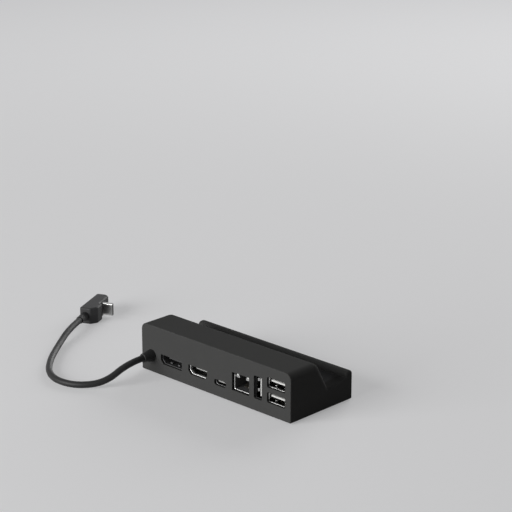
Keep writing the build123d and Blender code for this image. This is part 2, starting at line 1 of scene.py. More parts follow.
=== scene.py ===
"""Handheld console dock: finishes, tail lead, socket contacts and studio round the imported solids."""

from math import pi, radians

import bmesh
import bpy
from bpy.props import FloatProperty, FloatVectorProperty, IntProperty, PointerProperty
from mathutils import Matrix, Vector


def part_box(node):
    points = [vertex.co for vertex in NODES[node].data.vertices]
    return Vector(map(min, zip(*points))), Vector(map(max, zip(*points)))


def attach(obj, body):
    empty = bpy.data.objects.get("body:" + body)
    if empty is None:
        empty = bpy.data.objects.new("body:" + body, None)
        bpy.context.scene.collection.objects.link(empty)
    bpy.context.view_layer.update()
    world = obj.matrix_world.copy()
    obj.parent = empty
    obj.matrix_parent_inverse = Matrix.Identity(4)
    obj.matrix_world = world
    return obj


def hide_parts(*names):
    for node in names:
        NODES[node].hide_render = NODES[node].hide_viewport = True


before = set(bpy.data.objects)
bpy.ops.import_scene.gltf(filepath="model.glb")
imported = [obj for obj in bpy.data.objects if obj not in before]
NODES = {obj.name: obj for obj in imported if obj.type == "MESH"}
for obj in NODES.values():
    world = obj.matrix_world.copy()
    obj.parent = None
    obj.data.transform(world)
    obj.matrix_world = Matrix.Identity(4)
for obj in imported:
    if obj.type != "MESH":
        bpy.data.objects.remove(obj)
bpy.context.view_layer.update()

bl_info = {
    "name": "Handheld console dock",
    "version": (1, 0, 0),
    "blender": (4, 5, 0),
    "location": "View3D > Sidebar > Dock",
    "description": "Finishes, tail lead, socket contacts and studio for the dock",
    "category": "Object",
}

MM = 0.001

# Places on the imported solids, in metres
PORT_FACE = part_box("housing")[0][1]
HOUSING_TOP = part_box("housing")[1][2]
HOUSING_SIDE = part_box("housing")[1][0]
HOUSING_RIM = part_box("housing")[0][2]
PLUG_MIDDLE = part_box("plug_body")[1][2] / 2
SLEEVE_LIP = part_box("video_sleeve")[0][1]
SHIELD_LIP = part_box("network_shield")[0][1]

# Finishes that aren't a piece's main colour, and painted shade and highlights
DUST = (0.10, 0.10, 0.098, 1)
RUBBED_GOLD = (0.72, 0.68, 0.58, 1)
SHADED_METAL = 0.12  # share of a metal's colour kept where shade is painted on it
LIP_UNSHADED = 0.8 * MM  # a sleeve has no painted shade this far behind its lip
LIP_SHADED = 1.7 * MM  # and full painted shade from here on
CORNER_SHADE_FULL = 1.2 * MM  # painted shade is full in a corner of a sleeve as far as this
CORNER_SHADE_END = 2.2 * MM  # and gone from here on
BROW_SHADE_DEPTH = 0.3 * MM  # painted shade on the network shield is full down to this far below the top of its lamps
WINDOW_HIGHLIGHT_LIFT = 0.35  # a light pipe's painted highlight sits this far above its middle, as a share of its half height
WINDOW_HIGHLIGHT_SIZE = 0.35  # the painted highlight's size, as the same share
WINDOW_SHADE_SIZE = 0.90  # and where the painted shade is full
ALONG_SOCKET = (1, 0.05, 1)  # rolling streaks that run into a socket
UP_CAN = (1, 1, 0.05)
UP_SCREW = (1, 1, 0.1)

# Sheet and contacts of the sockets
SHEET = 0.4 * MM  # thickness of a sleeve
FLAT_CONTACT_THICKNESS = 0.12 * MM
FLAT_CONTACT_NOSE = 0.25 * MM  # length of a flat contact's turned-in tip
FLAT_CONTACT_DROP = 0.1 * MM  # how far its tip is turned in
FLAT_CONTACT_COUNTS = {"wide_video": (10, 10), "video": (10, 9), "power": (12, 12)}  # above, below
DATA_CONTACT_THICKNESS = 0.14 * MM
DATA_CONTACT_COUNT = 4
NETWORK_CONTACT_THICKNESS = 0.36 * MM
NETWORK_CONTACT_COUNT = 8
STRIP_BEVEL = 0.2  # share of a strip's thickness
STRIP_SHARP = radians(60)  # edges of a strip over this angle are bevelled

# Data sockets, and the turn that takes the upright one's own upward way into the frame
DATA_HALF_HEIGHT = 2.56 * MM
DATA_HALF_WIDTH = 6.25 * MM
DATA_RISE = 8.85 * MM  # lower socket of the pair to the upper one
DATA_TONGUE_FACE = 0.35 * MM  # underside of a tongue, from its socket's middle
UPRIGHT_TURN = Matrix(((0, 0, 1, 0), (0, 1, 0, 0), (-1, 0, 0, 0), (0, 0, 0, 1)))

# Side lines in millimetres: along from the sleeve's front edge, and up from a tongue's underside
DATA_CONTACT = (
    (0.9, -0.05),
    (1.5, -0.12),
    (3.2, -0.46),
    (4.0, -0.54),
    (4.8, -0.46),
    (7.0, -0.16),
    (10.4, -0.10),
)

# The spring leaves' side lines: along from the sleeve's front edge, and up from its wall
DATA_LEAF = ((7.4, 0.10), (5.4, 0.30), (3.6, 0.66), (2.9, 0.70), (2.2, 0.42))
UPRIGHT_LEAF = ((6.4, 0.10), (4.6, 0.30), (2.6, 0.80), (2.0, 0.82), (1.4, 0.12))
WIDE_VIDEO_LEAF = ((5.6, 0.10), (4.2, 0.26), (2.6, 0.58), (2.1, 0.62), (1.8, 0.10))
WIDE_VIDEO_TAB = ((3.4, 0.10), (2.2, 0.30), (1.3, 0.46), (0.7, 0.30))
LEAF_THICKNESS = 0.2 * MM
UPRIGHT_LEAF_LIFT = 0.6 * MM  # middle of the upright socket's leaves above its own
PAIR_LEAF_SHIFT = 0.5 * MM  # middle of a paired socket's leaves to the right of its own
WIDE_VIDEO_HEIGHT = 4.76 * MM

# Stage, in metres
FLOOR_HALF = 5.0
HAZE_START = 0.35  # the floor starts to pass into the distance here
HAZE_END = 1.6  # and is lost in it from here on
VEIL = 0.35  # share of the veil over the floor near the dock
KEY_PLACE = (-0.48, -1.88, 0.45)
KEY_WIDTH = 1.5
FILL_PLACE = (-0.45, 1.80, 0.50)
FILL_WIDTH = 1.4
CAMERA_PLACE = (0.6978, -0.7136, 0.4081)
CAMERA_TURN = (radians(71.603), 0, radians(44.011))

# The lead's route, the points that its solid follows, in metres
LEAD_ROUTE = (
    (-0.05020, -0.03245, 0.01080),
    (-0.05020, -0.04395, 0.01080),
    (-0.05200, -0.05900, 0.00350),
    (-0.06120, -0.07040, 0.00200),
    (-0.07520, -0.07460, 0.00200),
    (-0.08960, -0.06960, 0.00200),
    (-0.10400, -0.05600, 0.00200),
    (-0.11800, -0.03800, 0.00200),
    (-0.12860, -0.02000, 0.00520),
    (-0.13500, -0.00640, 0.00520),
)


def colour(name, description, default):
    return FloatVectorProperty(
        name=name, description=description, default=default, subtype="COLOR", min=0.0, max=1.0
    )


def size(name, description, default):
    return FloatProperty(
        name=name, description=description, default=default, min=0.0, unit="LENGTH", precision=5
    )


def light_level(name, description, default):
    return FloatProperty(name=name, description=description, default=default, min=0.0)


class DockColours(bpy.types.PropertyGroup):
    """Colours of the dock's finishes."""

    shell: colour("Shell", "Charcoal plastic of the housing", (0.070, 0.070, 0.069))
    rubber: colour("Rubber", "Liner and foot pad", (0.020, 0.020, 0.021))
    jacket: colour("Jacket", "Lead, gland and collar", (0.019, 0.019, 0.019))
    connector: colour("Connector", "Moulded body of the plug", (0.042, 0.042, 0.043))
    steel: colour("Socket steel", "Bright sheet of the sleeves", (0.62, 0.62, 0.61))
    shield: colour("Jack shield", "Tinned sheet of the network jack", (0.78, 0.78, 0.77))
    tinned_steel: colour("Tinned steel", "Satin sheet of the video sleeve", (0.80, 0.80, 0.79))
    dull_steel: colour("Dull steel", "Sheet of the power sleeve", (0.18, 0.18, 0.18))
    dark_steel: colour("Dark steel", "Black plated sheet of the wide video sleeve", (0.10, 0.10, 0.101))
    # painted shade: a dark copy of the socket steel that stands in for the shade over the upright sleeve
    shaded_steel: colour("Shaded steel", "Black plated sheet of the upright sleeve", (0.045, 0.045, 0.046))
    plug_core: colour("Plug core", "Black plastic inside the plug", (0.026, 0.026, 0.027))
    charcoal_moulding: colour("Charcoal moulding", "Wide video tongue, jack insert", (0.085, 0.085, 0.086))
    pale_moulding: colour("Pale moulding", "Tongues of the data sockets", (0.80, 0.80, 0.78))
    grey_moulding: colour("Grey moulding", "Tongues of the video and power sockets", (0.42, 0.42, 0.41))
    contact: colour("Contact", "Pale gold plating of the contacts", (0.54, 0.50, 0.42))
    window: colour("Light window", "Light pipes of the network jack", (0.93, 0.94, 0.92))
    board: colour("Board", "Solder mask of the board", (0.016, 0.065, 0.034))
    chip: colour("Chip", "Epoxy of the chips", (0.016, 0.016, 0.017))
    ferrite: colour("Ferrite", "Cores of the power inductors", (0.085, 0.085, 0.088))
    can: colour("Can", "Aluminium of the capacitors", (0.70, 0.70, 0.71))
    header: colour("Header", "Nylon of the lead's header", (0.70, 0.69, 0.64))
    screw: colour("Screw", "Steel of the screws", (0.36, 0.36, 0.37))


class DockLead(bpy.types.PropertyGroup):
    """Sizes of the tail lead."""

    diameter: size("Diameter", "Outside diameter of the lead", 3.8 * MM)
    length: size("Length", "From the gland to the collar of the plug", 149.9 * MM)
    sides: IntProperty(name="Sides", description="Resolution round the lead", default=8, min=2, max=32)


class DockSockets(bpy.types.PropertyGroup):
    """Sizes of the contacts and springs in the sockets."""

    data_contact: size("Data contact", "Width of a data contact", 1.0 * MM)
    data_pitch: size("Data pitch", "Spacing of the data contacts", 2.2 * MM)
    video_contact: size("Video contact", "Width of a video contact", 0.45 * MM)
    video_pitch: size("Video pitch", "Spacing of the video contacts", 1.0 * MM)
    power_contact: size("Power contact", "Width of a power contact", 0.25 * MM)
    power_pitch: size("Power pitch", "Spacing of the power contacts", 0.5 * MM)
    network_contact: size("Network contact", "Width of a network spring contact", 0.45 * MM)
    network_pitch: size("Network pitch", "Spacing of the network contacts", 1.02 * MM)
    spring: size("Spring", "Width of a spring leaf in a data socket", 1.7 * MM)
    spring_spacing: size("Spring spacing", "Leaves of the upright and wide video sockets", 6.0 * MM)
    pair_spring_spacing: size("Pair spring spacing", "Leaves of a paired data socket", 7.0 * MM)


class DockStage(bpy.types.PropertyGroup):
    """Floor, lights and camera."""

    floor: colour("Floor", "Pale floor", (0.92, 0.92, 0.93))
    floor_bounce: colour("Floor bounce", "Floor as the dock is lit by it", (0.30, 0.30, 0.30))
    distance: colour("Distance", "Pale surround behind the floor", (0.52, 0.52, 0.53))
    glow: colour("Glow", "Pale veil over the floor near the dock", (0.83, 0.83, 0.84))
    world: colour("Surround", "Even light from all round", (0.10, 0.10, 0.10))
    key: light_level("Key", "Level of the key light at the dock", 1.00)
    fill: light_level("Fill", "Level of the fill light at the dock", 0.52)
    lens: FloatProperty(name="Lens", description="Focal length in millimetres", default=133.59, min=1.0)


# Shader maths
class Value:
    """A socket of a finish's nodes. Arithmetic on it adds Math nodes."""

    def __init__(self, finish, socket):
        self.finish = finish
        self.socket = socket

    def maths(self, operation, one, two=0.0):
        return self.finish.node("Math", {"operation": operation}, {0: one, 1: two})

    def __add__(self, other):
        return self.maths("ADD", self, other)

    def __radd__(self, other):
        return self.maths("ADD", other, self)

    def __sub__(self, other):
        return self.maths("SUBTRACT", self, other)

    def __rsub__(self, other):
        return self.maths("SUBTRACT", other, self)

    def __mul__(self, other):
        return self.maths("MULTIPLY", self, other)

    def __rmul__(self, other):
        return self.maths("MULTIPLY", other, self)

    def __abs__(self):
        return self.maths("ABSOLUTE", self)

    def larger(self, other):
        return self.maths("MAXIMUM", self, other)

    def smaller(self, other):
        return self.maths("MINIMUM", self, other)

    def ramp(self, low, high, to_low=0.0, to_high=1.0):
        """Smooth step from to_low at low to to_high at high."""
        sockets = {"Value": self, "From Min": low, "From Max": high, "To Min": to_low, "To Max": to_high}
        return self.finish.node("MapRange", {"interpolation_type": "SMOOTHSTEP"}, sockets)


class Tree:
    """The nodes of a shader, the world's or a finish's."""

    def __init__(self, tree):
        self.tree = tree

    def node(self, kind, settings=None, sockets=None, output=0):
        """A node of a type, with its settings and then the values or links of its sockets."""
        made = self.tree.nodes.new("ShaderNode" + kind)
        for key, value in (settings or {}).items():
            setattr(made, key, value)
        for key, value in (sockets or {}).items():
            self.feed(made.inputs[key], value)
        return Value(self, made.outputs[output])

    def feed(self, socket, value):
        if isinstance(value, Value):
            self.tree.links.new(value.socket, socket)
        else:
            socket.default_value = value

    def looked_at(self):
        """1 for rays from the eye, straight or by gloss or glass, and 0 for light on its way."""
        rays = self.node("LightPath").socket.node.outputs
        eye = Value(self, rays["Is Camera Ray"]).larger(Value(self, rays["Is Glossy Ray"]))
        return eye.larger(Value(self, rays["Is Transmission Ray"]))


class Finish(Tree):
    """A material with a Principled shader, and the nodes that vary it."""

    def __init__(self, name):
        self.material = bpy.data.materials.new(name)
        self.material.use_nodes = True
        super().__init__(self.material.node_tree)
        self.shader = self.tree.nodes["Principled BSDF"]
        self.place = self.node("TexCoord", output="Object")

    def axes(self):
        """The three object coordinates."""
        parts = self.node("SeparateXYZ", sockets={"Vector": self.place}).socket.node
        return [Value(self, out) for out in parts.outputs]

    def noise(self, grain, detail=2.0, stretch=(1, 1, 1)):
        """Noise with features of about that size in metres, longer along an axis with a smaller stretch."""
        place = self.node("VectorMath", {"operation": "MULTIPLY"}, {0: self.place, 1: stretch})
        return self.node("TexNoise", sockets={"Vector": place, "Scale": 1 / grain, "Detail": detail})

    def tint(self, base, amount, factor):
        """A base colour, brighter or darker by up to that share as factor goes from 0 to 1."""
        dark = [*(c * (1 - amount) for c in base), 1.0]
        light = [*(min(1.0, c * (1 + amount)) for c in base), 1.0]
        return self.blend(dark, light, factor)

    def blend(self, one, two, factor):
        """Two colours mixed by a factor."""
        return self.node("Mix", {"data_type": "RGBA"}, {0: factor, 6: one, 7: two}, output=2)

    def bump(self, height, depth):
        """A normal for that height field, whose full range is depth metres."""
        return self.node("Bump", sockets={"Height": height, "Distance": depth, "Strength": 1.0})

    def set(self, **sockets):
        """Feeds the shader's sockets, named with _ for a space, and gives the material."""
        for key, value in sockets.items():
            self.feed(self.shader.inputs[key.replace("_", " ")], value)
        return self.material


def rgba(rgb, share=1.0):
    """A colour, or a share of it, with full alpha."""
    return [*(share * c for c in rgb), 1.0]


def shell_plastic():
    """Charcoal plastic: fine spark grain, faint patches, edges rubbed lighter and painted shade in the
    openings.
    """
    colours = bpy.context.scene.dock_colours
    f = Finish("shell_plastic")
    x, y, z = f.axes()
    grain = f.noise(0.22 * MM, 3.0)
    patch = f.noise(9 * MM, 3.0)
    scuff = f.noise(1.4 * MM, 4.0)
    behind = y - PORT_FACE
    beside = (HOUSING_SIDE - abs(x)).smaller(HOUSING_TOP - z).smaller(z - HOUSING_RIM)
    edge = behind.larger(beside).ramp(0.15 * MM, 0.8 * MM, 1.0, 0.0)
    wear = edge * scuff.ramp(0.35, 0.75)
    plain = f.tint(colours.shell, 0.08, 0.6 * patch + 0.4 * grain)
    worn = f.blend(plain, rgba(colours.shell, 1.8), wear * 0.35)
    # painted shade: the walls of the port face's openings are darkened further in, away from their rims
    opening = behind.ramp(0.3 * MM, 1.0 * MM) * behind.ramp(2.2 * MM, 2.6 * MM, 1.0, 0.0)
    opening_shade = opening * beside.ramp(2.0 * MM, 3.0 * MM)
    shaded_in_openings = f.blend(worn, rgba(colours.shell, 0.3), opening_shade)
    rough = 0.80 + 0.10 * patch - 0.14 * wear
    normal = f.bump(grain + 0.3 * scuff, 0.022 * MM)
    return f.set(Base_Color=shaded_in_openings, Roughness=rough, Normal=normal, Specular_IOR_Level=0.02)


def base_plastic():
    """The same plastic as the housing, left plainer."""
    colours = bpy.context.scene.dock_colours
    f = Finish("base_plastic")
    grain = f.noise(0.25 * MM, 3.0)
    patch = f.noise(8 * MM, 3.0)
    base = f.tint([0.8 * c for c in colours.shell], 0.08, patch)
    rough = 0.62 + 0.1 * patch
    return f.set(Base_Color=base, Roughness=rough, Normal=f.bump(grain, 0.02 * MM), Specular_IOR_Level=0.3)


def soft_rubber(name):
    """Matt rubber with a fine skin and a little dust."""
    colours = bpy.context.scene.dock_colours
    f = Finish(name)
    skin = f.noise(0.35 * MM, 4.0)
    dust = f.noise(5 * MM, 4.0).ramp(0.5, 0.85)
    speck = f.noise(0.6 * MM, 2.0).ramp(0.66, 0.74)
    base = f.blend(f.tint(colours.rubber, 0.12, skin), DUST, 0.20 * dust + 0.12 * speck)
    rough = 0.78 + 0.12 * dust
    return f.set(Base_Color=base, Roughness=rough, Normal=f.bump(skin, 0.02 * MM), Specular_IOR_Level=0.25)


def jacket():
    """Satin jacket of the lead, gland and collar, with faint drawing marks."""
    colours = bpy.context.scene.dock_colours
    f = Finish("lead_jacket")
    skin = f.noise(0.18 * MM, 3.0)
    patch = f.noise(4 * MM, 3.0)
    base = f.tint(colours.jacket, 0.12, 0.5 * patch + 0.5 * skin)
    rough = 0.46 + 0.12 * patch
    return f.set(Base_Color=base, Roughness=rough, Normal=f.bump(skin, 0.012 * MM), Specular_IOR_Level=0.36)


def connector_plastic():
    """Satin plastic of the plug, with the moulding's parting line round its middle."""
    colours = bpy.context.scene.dock_colours
    f = Finish("connector_plastic")
    z = f.axes()[2]
    grain = f.noise(0.2 * MM, 3.0)
    patch = f.noise(5 * MM, 3.0)
    line = abs(z - PLUG_MIDDLE).ramp(0.03 * MM, 0.12 * MM, 1.0, 0.0)
    tone = f.tint(colours.connector, 0.10, patch)
    base = f.blend(tone, rgba(colours.connector, 0.6), line * 0.6)
    normal = f.bump(grain - line, 0.018 * MM)
    return f.set(Base_Color=base, Roughness=0.50 + 0.1 * patch, Normal=normal, Specular_IOR_Level=0.36)


def data_pair_corner_shade(x, z):
    """1 in the lower corners of the data pair's sleeve, where shade is painted, and 0 elsewhere."""
    low, high = (Vector(corner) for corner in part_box("data_pair_sleeve"))
    middle = (low.x + high.x) / 2
    upper_floor = high.z - 2 * (DATA_HALF_HEIGHT + SHEET)
    from_side = (high.x - middle) - abs(x - middle)
    from_floor = abs(z - upper_floor).smaller(abs(z - (upper_floor - DATA_RISE)))
    return from_side.larger(from_floor).ramp(CORNER_SHADE_FULL, CORNER_SHADE_END, 1.0, 0.0)


def network_brow_shade(_, z):
    """1 along the top of the network jack's shield, beside its lamps, where shade is painted, and 0 below
    them.
    """
    low, high = (Vector(corner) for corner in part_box("network_lights"))
    return z.ramp(low.z, high.z - BROW_SHADE_DEPTH)


def drawn_metal(name, base, rough, streak, lip=None, shade_mask=None):
    """Sheet metal with rolling streaks and dull spots, with painted shade behind its lip and where its
    shade mask is 1.
    """
    f = Finish(name)
    streaks = f.noise(0.12 * MM, 3.0, stretch=streak)
    spots = f.noise(1.2 * MM, 3.0).ramp(0.55, 0.8)
    tone = f.tint(base, 0.10, streaks)
    spotted_and_shaded = f.blend(tone, rgba(base, 0.75), spots * 0.5)
    x, y, z = f.axes()
    if lip is not None:
        # painted shade deeper inside the socket, behind the sleeve's lip
        behind = y.ramp(lip + LIP_UNSHADED, lip + LIP_SHADED)
        spotted_and_shaded = f.blend(spotted_and_shaded, rgba(base, SHADED_METAL), behind)
    # painted shade where the shade mask says
    if shade_mask is not None:
        spotted_and_shaded = f.blend(spotted_and_shaded, rgba(base, SHADED_METAL), shade_mask(x, z))
    return f.set(
        Base_Color=spotted_and_shaded,
        Roughness=rough + 0.12 * streaks + 0.10 * spots,
        Metallic=1.0,
        Normal=f.bump(streaks, 0.004 * MM),
    )


def socket_moulding(name, base, rough):
    """Plain moulding inside a socket, with a slight flow pattern."""
    f = Finish(name)
    flow = f.noise(1.5 * MM, 3.0, stretch=(1, 0.3, 1))
    grain = f.noise(0.15 * MM, 2.0)
    tone = f.tint(base, 0.07, flow)
    normal = f.bump(grain, 0.006 * MM)
    return f.set(Base_Color=tone, Roughness=rough + 0.1 * flow, Normal=normal, Specular_IOR_Level=0.3)


def contact_plating():
    """Gold plating, rubbed paler where plugs have slid along it."""
    colours = bpy.context.scene.dock_colours
    f = Finish("contact_plating")
    slide = f.noise(0.25 * MM, 3.0, stretch=(1, 0.1, 1))
    rubbed = slide.ramp(0.5, 0.8) * 0.4
    worn = f.blend(f.tint(colours.contact, 0.06, slide), RUBBED_GOLD, rubbed)
    return f.set(Base_Color=worn, Roughness=0.24 + 0.14 * slide, Metallic=1.0)


def light_window():
    """Milky moulded light pipe, with a painted highlight in the upper part of its face and painted shade
    towards its rim.
    """
    colours = bpy.context.scene.dock_colours
    f = Finish("light_window")
    cloud = f.noise(0.8 * MM, 3.0)
    x, _, z = f.axes()
    low, high = (Vector(corner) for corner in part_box("network_lights"))
    middle = (low + high) / 2
    reach = (high.z - low.z) / 2
    beside = abs(abs(x - middle.x) - (high.x - middle.x - reach))
    above = z - middle.z - WINDOW_HIGHLIGHT_LIFT * reach
    off_centre = beside * beside + above * above
    # painted highlight near each pipe's upper middle, painted shade towards its rim
    shade = off_centre.ramp((WINDOW_HIGHLIGHT_SIZE * reach) ** 2, (WINDOW_SHADE_SIZE * reach) ** 2)
    tone = f.blend(f.tint(colours.window, 0.06, cloud), rgba(colours.window, 0.3), shade)
    return f.set(Base_Color=tone, Roughness=0.22 + 0.1 * cloud, Coat_Weight=0.4)


def solder_mask():
    """Green solder mask over faint copper tracks."""
    colours = bpy.context.scene.dock_colours
    f = Finish("solder_mask")
    bricks = {"Vector": f.place, "Scale": 260.0, "Mortar Size": 0.03}
    tracks = f.node("TexBrick", sockets=bricks, output="Fac")
    cloud = f.noise(3 * MM, 3.0)
    base = f.blend(f.tint(colours.board, 0.1, cloud), rgba(colours.board, 1.5), tracks * 0.6)
    normal = f.bump(tracks, 0.02 * MM)
    return f.set(Base_Color=base, Roughness=0.34 + 0.12 * cloud, Normal=normal)


def in_node(name, material):
    """Gives a carried-over solid its finish."""
    slots = NODES[name].data.materials
    slots.clear()
    slots.append(material)


# Rows of like pieces
def row_tree():
    """Geometry nodes that repeat a piece along a straight row."""
    tree = bpy.data.node_groups.new("row_of_pieces", "GeometryNodeTree")
    face = tree.interface
    face.new_socket("Geometry", in_out="OUTPUT", socket_type="NodeSocketGeometry")
    face.new_socket("Geometry", in_out="INPUT", socket_type="NodeSocketGeometry")
    count = face.new_socket("Count", in_out="INPUT", socket_type="NodeSocketInt")
    step = face.new_socket("Step", in_out="INPUT", socket_type="NodeSocketVector")
    finish = face.new_socket("Finish", in_out="INPUT", socket_type="NodeSocketMaterial")
    start = tree.nodes.new("NodeGroupInput")
    line = tree.nodes.new("GeometryNodeMeshLine")
    line.mode = "OFFSET"
    copies = tree.nodes.new("GeometryNodeInstanceOnPoints")
    real = tree.nodes.new("GeometryNodeRealizeInstances")
    paint = tree.nodes.new("GeometryNodeSetMaterial")
    end = tree.nodes.new("NodeGroupOutput")
    links = tree.links
    links.new(start.outputs["Count"], line.inputs["Count"])
    links.new(start.outputs["Step"], line.inputs["Offset"])
    links.new(line.outputs["Mesh"], copies.inputs["Points"])
    links.new(start.outputs["Geometry"], copies.inputs["Instance"])
    links.new(copies.outputs["Instances"], real.inputs["Geometry"])
    links.new(real.outputs["Geometry"], paint.inputs["Geometry"])
    links.new(start.outputs["Finish"], paint.inputs["Material"])
    links.new(paint.outputs["Geometry"], end.inputs["Geometry"])
    return tree, count.identifier, step.identifier, finish.identifier


def row_mesh(first, count, step, material):
    """The mesh of a row that starts with the piece in first."""
    tree, count_id, step_id, finish_id = row_tree()
    holder = bpy.data.objects.new("row_holder", first)
    bpy.context.scene.collection.objects.link(holder)
    rows = holder.modifiers.new("row", "NODES")
    rows.node_group = tree
    rows[count_id] = count
    rows[step_id] = step
    rows[finish_id] = material
    seen = holder.evaluated_get(bpy.context.evaluated_depsgraph_get())
    made = bpy.data.meshes.new_from_object(seen)
    bpy.data.objects.remove(holder)
    return made


def strip(line, width, thickness, place):
    """A bent strip, as a mesh. line holds (along, up), and place puts (across, along, up) in the frame."""
    built = bmesh.new()
    corners = ((-1, -1), (1, -1), (1, 1), (-1, 1))
    rings = []
    points = [Vector(p) for p in line]
    for i, at in enumerate(points):
        way = (points[min(i + 1, len(points) - 1)] - points[max(i - 1, 0)]).normalized()
        normal = Vector((-way.y, way.x)) * thickness / 2
        ring = []
        for across, up in corners:
            spot = at + normal * up
            ring.append(built.verts.new(place @ Vector((across * width / 2, spot.x, spot.y))))
        rings.append(ring)
    for one, two in zip(rings, rings[1:]):
        for i in range(4):
            built.faces.new((one[i], one[(i + 1) % 4], two[(i + 1) % 4], two[i]))
    built.faces.new(rings[0][::-1])
    built.faces.new(rings[-1])
    bmesh.ops.recalc_face_normals(built, faces=built.faces)
    sharp = [e for e in built.edges if e.calc_face_angle(0.0) > STRIP_SHARP]
    bmesh.ops.bevel(built, geom=sharp, offset=thickness * STRIP_BEVEL, segments=1, affect="EDGES")
    mesh = bpy.data.meshes.new("strip")
    built.to_mesh(mesh)
    built.free()
    return mesh


def joined(name, meshes):
    """One mesh made of several."""
    whole = bmesh.new()
    for mesh in meshes:
        whole.from_mesh(mesh)
    made = bpy.data.meshes.new(name)
    whole.to_mesh(made)
    whole.free()
    for material in meshes[0].materials:
        made.materials.append(material)
    return made


def piece(name, data, replaced=()):
    """A finished piece on the dock's one body."""
    made = bpy.data.objects.new(name, data)
    bpy.context.scene.collection.objects.link(made)
    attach(made, "root")
    if replaced:
        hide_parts(*replaced)
    return made


class DockOperator:
    """What the dock's operators share."""

    bl_options = {"REGISTER", "UNDO"}


class DOCK_OT_shell(DockOperator, bpy.types.Operator):
    """Finish the housing, base plate, liner and foot pad"""

    bl_idname = "dock.shell"
    bl_label = "Shell"

    def execute(self, context):
        in_node("housing", shell_plastic())
        in_node("base_plate", base_plastic())
        in_node("cradle_liner", soft_rubber("liner_rubber"))
        in_node("foot_pad", soft_rubber("foot_rubber"))
        return {"FINISHED"}


class DOCK_OT_sockets(DockOperator, bpy.types.Operator):
    """Finish the sleeves, tongues and network jack"""

    bl_idname = "dock.sockets"
    bl_label = "Sockets"

    def execute(self, context):
        colours = context.scene.dock_colours
        along = ALONG_SOCKET
        bright = drawn_metal("socket_steel", colours.steel, 0.20, along, SLEEVE_LIP, data_pair_corner_shade)
        satin = drawn_metal("tinned_steel", colours.tinned_steel, 0.34, along, SLEEVE_LIP)
        dull = drawn_metal("dull_steel", colours.dull_steel, 0.28, along, SLEEVE_LIP)
        dark = drawn_metal("dark_steel", colours.dark_steel, 0.55, along)
        shaded_sheet = drawn_metal("shaded_steel", colours.shaded_steel, 0.34, along, SLEEVE_LIP)
        shield = drawn_metal("jack_shield", colours.shield, 0.20, along, SHIELD_LIP, network_brow_shade)
        charcoal = socket_moulding("charcoal_moulding", colours.charcoal_moulding, 0.5)
        grey = socket_moulding("grey_moulding", colours.grey_moulding, 0.45)
        pale = socket_moulding("pale_moulding", colours.pale_moulding, 0.45)
        finishes = {
            bright: ("data_pair_sleeve",),
            satin: ("video_sleeve",),
            dull: ("power_sleeve",),
            dark: ("wide_video_sleeve",),
            shaded_sheet: ("data_upright_sleeve",),
            shield: ("network_shield",),
            charcoal: ("wide_video_tongue", "network_insert"),
            grey: ("video_tongue", "power_tongue"),
            pale: ("data_upright_tongue", "data_pair_tongues"),
        }
        for finish, names in finishes.items():
            for name in names:
                in_node(name, finish)
        in_node("network_lights", light_window())
        return {"FINISHED"}


class DOCK_OT_board(DockOperator, bpy.types.Operator):
    """Finish the board and what is on it"""

    bl_idname = "dock.board"
    bl_label = "Board"

    def execute(self, context):
        colours = context.scene.dock_colours
        chip = socket_moulding("chip_epoxy", colours.chip, 0.5)
        for name in ("video_chip", "hub_chip", "power_chip", "network_chip"):
            in_node(name, chip)
        in_node("main_board", solder_mask())
        in_node("power_inductors", socket_moulding("ferrite", colours.ferrite, 0.7))
        in_node("capacitors", drawn_metal("can_aluminium", colours.can, 0.3, UP_CAN))
        in_node("cord_header", socket_moulding("header_nylon", colours.header, 0.5))
        screw = drawn_metal("screw_steel", colours.screw, 0.3, UP_SCREW)
        for name in ("case_screws", "board_screws"):
            in_node(name, screw)
        return {"FINISHED"}


class DOCK_OT_contacts(DockOperator, bpy.types.Operator):
    """Make the rows of contacts in every socket"""

    bl_idname = "dock.contacts"
    bl_label = "Contacts"

    def execute(self, context):
        plating = contact_plating()
        sizes = context.scene.dock_sockets
        thick = FLAT_CONTACT_THICKNESS
        flat = {
            "wide_video": (sizes.video_contact, sizes.video_pitch),
            "video": (sizes.video_contact, sizes.video_pitch),
            "power": (sizes.power_contact, sizes.power_pitch),
        }
        for name, (width, pitch) in flat.items():
            upper, lower = FLAT_CONTACT_COUNTS[name]
            low, high = (Vector(corner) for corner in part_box(f"{name}_contacts"))
            middle = (low + high) / 2
            run = high.y - low.y
            line = ((0, -FLAT_CONTACT_DROP), (FLAT_CONTACT_NOSE, -thick / 2), (run, -thick / 2))
            rows = []
            for count, way, face in ((upper, 1, high.z), (lower, -1, low.z)):
                first = Matrix.Translation((middle.x - (count - 1) / 2 * pitch, low.y, face))
                first = first @ Matrix.Diagonal((1, 1, way, 1))
                rows.append(row_mesh(strip(line, width, thick, first), count, (pitch, 0, 0), plating))
            both = joined(f"{name}_contact_row", rows)
            piece(f"{name}_contact_row", both, [f"{name}_contacts"])
        data_contacts(plating, sizes)
        network_contacts(plating, sizes)
        return {"FINISHED"}


def data_places():
    """Each data socket's own frame, at its middle on the sleeve's front edge, with its tongue above."""
    low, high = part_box("data_pair_sleeve")
    x = (low[0] + high[0]) / 2
    upper_z = high[2] - SHEET - DATA_HALF_HEIGHT
    up_low, up_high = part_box("data_upright_sleeve")
    upright_x = (up_low[0] + up_high[0]) / 2
    upright_z = up_high[2] - SHEET - DATA_HALF_WIDTH
    return {
        "data_pair_upper": Matrix.Translation((x, low[1], upper_z)),
        "data_pair_lower": Matrix.Translation((x, low[1], upper_z - DATA_RISE)),
        "data_upright": Matrix.Translation((upright_x, up_low[1], upright_z)) @ UPRIGHT_TURN,
    }


